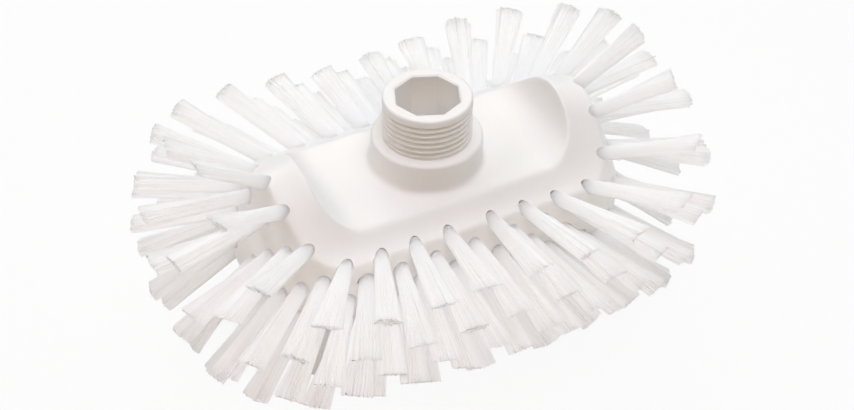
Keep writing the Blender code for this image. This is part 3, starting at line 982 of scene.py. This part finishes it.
class FinishBook:
    """Builds the shared grain group and the two materials."""

    details: tuple[tuple[str, float], ...] = (("Cloud", 3.0), ("Grain", 2.0))

    def __init__(self) -> None:
        """Make the shared group once."""
        self.grain = self.build_grain_group()

    def build_grain_group(self) -> NodeTree:
        """Group that gives a clouding mask and a fine grain height from a position.

        Returns:
            The node tree, with inputs Position, Cloud Scale and Grain Scale, and outputs Cloud
            and Grain.
        """
        group = bpy.data.node_groups.new("cloud_and_grain", "ShaderNodeTree")
        group.interface.new_socket(name="Position", in_out="INPUT", socket_type="NodeSocketVector")
        for name, _ in self.details:
            for label, way in ((f"{name} Scale", "INPUT"), (name, "OUTPUT")):
                group.interface.new_socket(name=label, in_out=way, socket_type="NodeSocketFloat")
        given = group.nodes.new("NodeGroupInput").outputs
        result = group.nodes.new("NodeGroupOutput")
        for name, detail in self.details:
            noise = new_node(group, "ShaderNodeTexNoise", {
                "Vector": given["Position"], "Scale": given[f"{name} Scale"], "Detail": detail})
            fed(group, result, {name: noise.outputs["Fac"]})
        return group

    def new_material(self, name: str) -> tuple[Material, NodeTree, Node]:
        """Start a material and hand it over with its node tree and its Principled shader."""
        material = bpy.data.materials.new(name)
        material.use_nodes = True
        return material, material.node_tree, material.node_tree.nodes["Principled BSDF"]

    def mixed(self, tree: NodeTree, share: NodeSocket, first: object, second: object) -> NodeSocket:
        """Mix two colours by a share, each a colour or a socket, and give the result's socket."""
        node = tree.nodes.new("ShaderNodeMix")
        node.data_type = "RGBA"
        ends = [(*end, 1.0) if isinstance(end, tuple) else end for end in (first, second)]
        return fed(tree, node, {0: share, 6: ends[0], 7: ends[1]}).outputs[2]

    def moulded(self, finish: MouldedFinish) -> Material:
        """White moulded plastic for the block."""
        material, tree, shader = self.new_material("white_moulding_finish")
        where = tree.nodes.new("ShaderNodeTexCoord")
        grain = tree.nodes.new("ShaderNodeGroup")
        grain.node_tree = self.grain
        fed(tree, grain, {"Cloud Scale": finish.cloud_scale, "Grain Scale": finish.grain_scale,
                          "Position": where.outputs["Object"]})
        bump = new_node(tree, "ShaderNodeBump", {
            "Distance": finish.grain_depth, "Strength": finish.grain_strength,
            "Height": grain.outputs["Grain"]})
        fed(tree, shader, {
            "Base Color": self.mixed(tree, grain.outputs["Cloud"], finish.clouded, finish.colour),
            "Roughness": finish.roughness,
            "Metallic": 0.0,
            "Normal": bump.outputs["Normal"],
        })
        return material

    def filament(self, finish: FilamentFinish) -> Material:
        """White filament for the tufts, which scatters light under its surface, with painted light at
        its root: a paler, cooler tint that stands in for the fill light there.
        """
        material, tree, shader = self.new_material("white_filament_finish")
        tone, along = (tree.nodes.new("ShaderNodeAttribute") for _ in range(2))
        tone.attribute_name = "strand_tone"
        along.attribute_name = "strand_along"
        # Painted light: towards the root the colour fades to the paler, cooler root tint, which stands
        # in for fill light
        root_light_share = new_node(tree, "ShaderNodeMapRange", {
            "From Min": finish.root_light_fade[0], "From Max": finish.root_light_fade[1],
            "Value": along.outputs["Fac"]})
        body = self.mixed(tree, tone.outputs["Fac"], finish.dim, finish.pale)
        fed(tree, shader, {
            "Base Color": self.mixed(tree, root_light_share.outputs["Result"], finish.root, body),
            "Roughness": finish.roughness,
            "Metallic": 0.0,
            "Subsurface Weight": finish.scatter,
            "Subsurface Scale": finish.scatter_reach,
            "Subsurface Radius": finish.scatter_tint,
        })
        return material


class BrushHead:
    """The whole head: one moulded block and the tufts of each sector and row."""

    def __init__(self, book: FinishBook) -> None:
        """Choose the finishes and lay out the tufts."""
        self.moulding = book.moulded(MouldedFinish())
        self.filament = book.filament(FilamentFinish())
        self.tufts = TuftPlan()
        self.bristles = BristleTufts()

    def cut_and_joined(self, body: Mesh, joined: Mesh, cutter: Mesh) -> Mesh:
        """Join one mesh to the body and cut another out of it, with the results applied.

        Args:
            body: Closed mesh to start from.
            joined: Closed mesh to add.
            cutter: Mesh of closed solids to take away.

        Returns:
            A new mesh.
        """
        helpers = [linked(mesh.name, mesh) for mesh in (body, joined, cutter)]
        for helper, operation in zip(helpers[1:], ("UNION", "DIFFERENCE")):
            boolean = helpers[0].modifiers.new(helper.name, "BOOLEAN")
            boolean.operation = operation
            boolean.solver = "MANIFOLD"
            boolean.object = helper
        graph = bpy.context.evaluated_depsgraph_get()
        mesh = bpy.data.meshes.new_from_object(helpers[0].evaluated_get(graph))
        for helper in helpers:
            bpy.data.objects.remove(helper, do_unlink=True)
        return mesh

    def build_block(self) -> Object:
        """Build the moulded block with its spigot, drilled for every tuft."""
        wall = [self.tufts.outer_row(row) for row in range(self.tufts.wall_rows + 1)]
        under = [self.tufts.under_row(row) for row in range(len(self.tufts.under_counts))]
        body = MouldedBody()
        mesh = self.cut_and_joined(
            body.build_mesh(), ThreadedSpigot().build_mesh(), TuftHoles().build_mesh(wall + under))
        mesh.name = "moulded_block"
        mesh.shade_smooth()
        mesh.set_sharp_from_angle(angle=math.radians(body.sharp_angle))
        return new_piece("moulded_block", mesh, self.moulding, ["brush_block"])

    def build_tufts(self) -> list[Object]:
        """Build the tufts, one piece for each CAD node that carries some."""
        plan = self.tufts
        sectors, rows = range(len(plan.column_runs())), range(len(plan.under_counts))
        groups = [("wall", f"{n + 1:02d}", plan.sector(n), WALL_SEED + n) for n in sectors]
        groups += [("under", f"{n + 1}", plan.under_row(n), UNDER_SEED + n) for n in rows]
        pieces = []
        for kind, place, tufts, seed in groups:
            name = f"bristles_{kind}_{place}"
            mesh = self.bristles.build_mesh(name, tufts, seed)
            nodes = [f"{kind}_tufts_{place}"]
            pieces.append(new_piece(name, mesh, self.filament, nodes))
        return pieces


@dataclass(frozen=True)
class Softbox:
    """A square soft light, aimed at the brush."""

    name: str
    azimuth: float
    elevation: float
    power: float
    colour: tuple[float, float, float]
    distance: float = 1.1
    side: float = 0.6


@dataclass
class Studio:
    """Pale floor, soft lights and the camera at the photograph's angle."""

    aim: tuple[float, float, float] = (0.0, 0.0, 0.06)
    floor_half: float = 2.5
    floor_colour: tuple[float, float, float] = (0.86, 0.855, 0.85)
    floor_shadow_share: float = 0.14
    ambient: float = 0.02
    ambient_colour: tuple[float, float, float] = (1.0, 0.985, 0.97)
    tuft_shade: float = 0.2
    softboxes: tuple[Softbox, ...] = (
        Softbox("front_softbox", -110.0, 45.0, 2.95, (1.0, 0.74, 0.48)),
        Softbox("low_right_softbox", -30.0, 17.0, 1.2, (0.85, 1.0, 0.97)),
        Softbox("right_softbox", 10.0, 45.0, 1.8, (1.0, 0.94, 0.92)),
        Softbox("far_right_softbox", 50.0, 45.0, 1.9, (1.0, 0.95, 0.82)),
        Softbox("far_softbox", 90.0, 45.0, 2.2, (0.76, 1.0, 0.99)),
        Softbox("far_left_softbox", 130.0, 42.0, 2.4, (1.0, 0.89, 0.91)),
        Softbox("left_softbox", 170.0, 45.0, 2.0, (1.0, 0.95, 0.9)),
        Softbox("overhead_softbox", -60.0, 78.0, 5.7, (0.78, 0.84, 1.0)),
    )
    heading: float = 28.09
    elevation: float = 40.25
    roll: float = 0.82
    distance: float = 0.700
    lens: float = 79.27
    sensor: float = 36.0
    shift_up: float = 17.607 * MM
    shift_right: float = -0.112 * MM

    def show_white(self, tree: NodeTree, share: NodeSocket, plain: Node, white: str, end: str) -> None:
        """Mix a white shader over the one that lights the brush, and link the mix to an output.

        Args:
            tree: Node tree of the floor's material or of the world.
            share: How much of the white shader a ray sees.
            plain: Shader that lights the brush.
            white: Kind of the white shader.
            end: Kind of the output.
        """
        shown = new_node(tree, white, {"Color": (1.0, 1.0, 1.0, 1.0), "Strength": 1.0})
        shaders = {0: share, 1: plain.outputs[0], 2: shown.outputs[0]}
        mix = new_node(tree, "ShaderNodeMixShader", shaders)
        new_node(tree, end, {"Surface": mix.outputs[0]})

    def build_floor(self) -> None:
        """Lay a pale floor that the camera sees as white, with a faint shadow kept on it."""
        corners = np.array([(-1.0, -1.0, 0.0), (1.0, -1.0, 0.0), (1.0, 1.0, 0.0), (-1.0, 1.0, 0.0)])
        mesh = array_mesh("studio_floor", self.floor_half * corners, np.array([[0, 1, 2, 3]]))
        material = bpy.data.materials.new("pale_floor")
        material.use_nodes = True
        tree = material.node_tree
        tree.nodes.clear()
        ray = tree.nodes.new("ShaderNodeLightPath").outputs
        plain = new_node(tree, "ShaderNodeBsdfDiffuse", {"Color": (*self.floor_colour, 1.0)})
        seen = new_node(tree, "ShaderNodeMath", {0: ray["Is Camera Ray"], 1: ray["Is Glossy Ray"]})
        seen.operation = "MAXIMUM"
        kept = 1.0 - self.floor_shadow_share
        share = new_node(tree, "ShaderNodeMath", {0: seen.outputs[0], 1: kept})
        share.operation = "MULTIPLY"
        kinds = ("ShaderNodeEmission", "ShaderNodeOutputMaterial")
        self.show_white(tree, share.outputs[0], plain, *kinds)
        mesh.materials.append(material)
        linked("studio_floor", mesh)

    def build_world(self) -> None:
        """Surround the brush with even soft light, seen as white where the floor ends."""
        world = bpy.data.worlds.new("studio_world")
        bpy.context.scene.world = world
        world.use_nodes = True
        tree = world.node_tree
        tree.nodes.clear()
        ray = tree.nodes.new("ShaderNodeLightPath").outputs
        soft = new_node(tree, "ShaderNodeBackground", {
            "Color": (*self.ambient_colour, 1.0), "Strength": self.ambient})
        seen = ray["Is Camera Ray"]
        self.show_white(tree, seen, soft, "ShaderNodeBackground", "ShaderNodeOutputWorld")

    def hang(self, box: Softbox, name: str, power: float) -> Object:
        """Hang one softbox on its bearing, turned to face the brush.

        Args:
            box: Where the softbox hangs, its size and its colour.
            name: Name of this part of its light.
            power: Watts of this part.

        Returns:
            The lamp object.
        """
        lamp = bpy.data.lights.new(name, "AREA")
        lamp.shape = "SQUARE"
        lamp.size = box.side
        lamp.energy = power
        lamp.color = box.colour
        thing = linked(name, lamp)
        bearing, rise = math.radians(box.azimuth), math.radians(box.elevation)
        away = Vector((math.cos(bearing) * math.cos(rise), math.sin(bearing) * math.cos(rise),
                       math.sin(rise)))
        thing.location = Vector(self.aim) + away * box.distance
        thing.rotation_euler = away.to_track_quat("Z", "Y").to_euler()
        return thing

    def build_lights(self, block: Object) -> None:
        """Hang each softbox in two parts: one that the tufts block, and one that they let through.

        Real filament passes most of the light that falls on it; the moulded block passes none.

        Args:
            block: The piece that blocks both parts.
        """
        opaque = bpy.data.collections.new("opaque_pieces")
        opaque.objects.link(block)
        for box in self.softboxes:
            self.hang(box, box.name, box.power * self.tuft_shade)
            through = self.hang(box, box.name + "_through", box.power * (1.0 - self.tuft_shade))
            through.light_linking.blocker_collection = opaque

    def build_camera(self) -> None:
        """Stand the camera on its bearing from the spigot's foot and roll it a little."""
        heading, rise, roll = (math.radians(v) for v in (self.heading, self.elevation, self.roll))
        back = Vector((-math.sin(heading) * math.cos(rise), -math.cos(heading) * math.cos(rise),
                       math.sin(rise)))
        level = Vector((math.cos(heading), -math.sin(heading), 0.0))
        upright = back.cross(level)
        right = level * math.cos(roll) + upright * math.sin(roll)
        up = upright * math.cos(roll) - level * math.sin(roll)
        place = Vector((0.0, 0.0, SADDLE_FLOOR)) + back * self.distance
        place = place - right * self.shift_right - up * self.shift_up
        camera = linked("camera", bpy.data.cameras.new("camera"))
        turned = Matrix((right, up, back)).transposed().to_4x4()
        camera.matrix_world = Matrix.Translation(place) @ turned
        camera.data.lens = self.lens
        camera.data.sensor_width = self.sensor
        bpy.context.scene.camera = camera

    def build(self, block: Object) -> None:
        """Build the floor, world, lights and camera round the moulded block."""
        self.build_floor()
        self.build_world()
        self.build_lights(block)
        self.build_camera()
        bpy.context.scene.view_settings.view_transform = "Standard"


def main() -> None:
    """Load the frame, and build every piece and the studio."""
    logging.basicConfig(level=logging.INFO, format="%(message)s")
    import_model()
    head = BrushHead(FinishBook())
    block = head.build_block()
    LOG.info("%s: %d faces", block.name, len(block.data.polygons))
    for piece in head.build_tufts():
        LOG.info("%s: %d faces", piece.name, len(piece.data.polygons))
    Studio().build(block)
    LOG.info("studio built")
    bpy.context.view_layer.update()


if __name__ == "__main__":
    main()
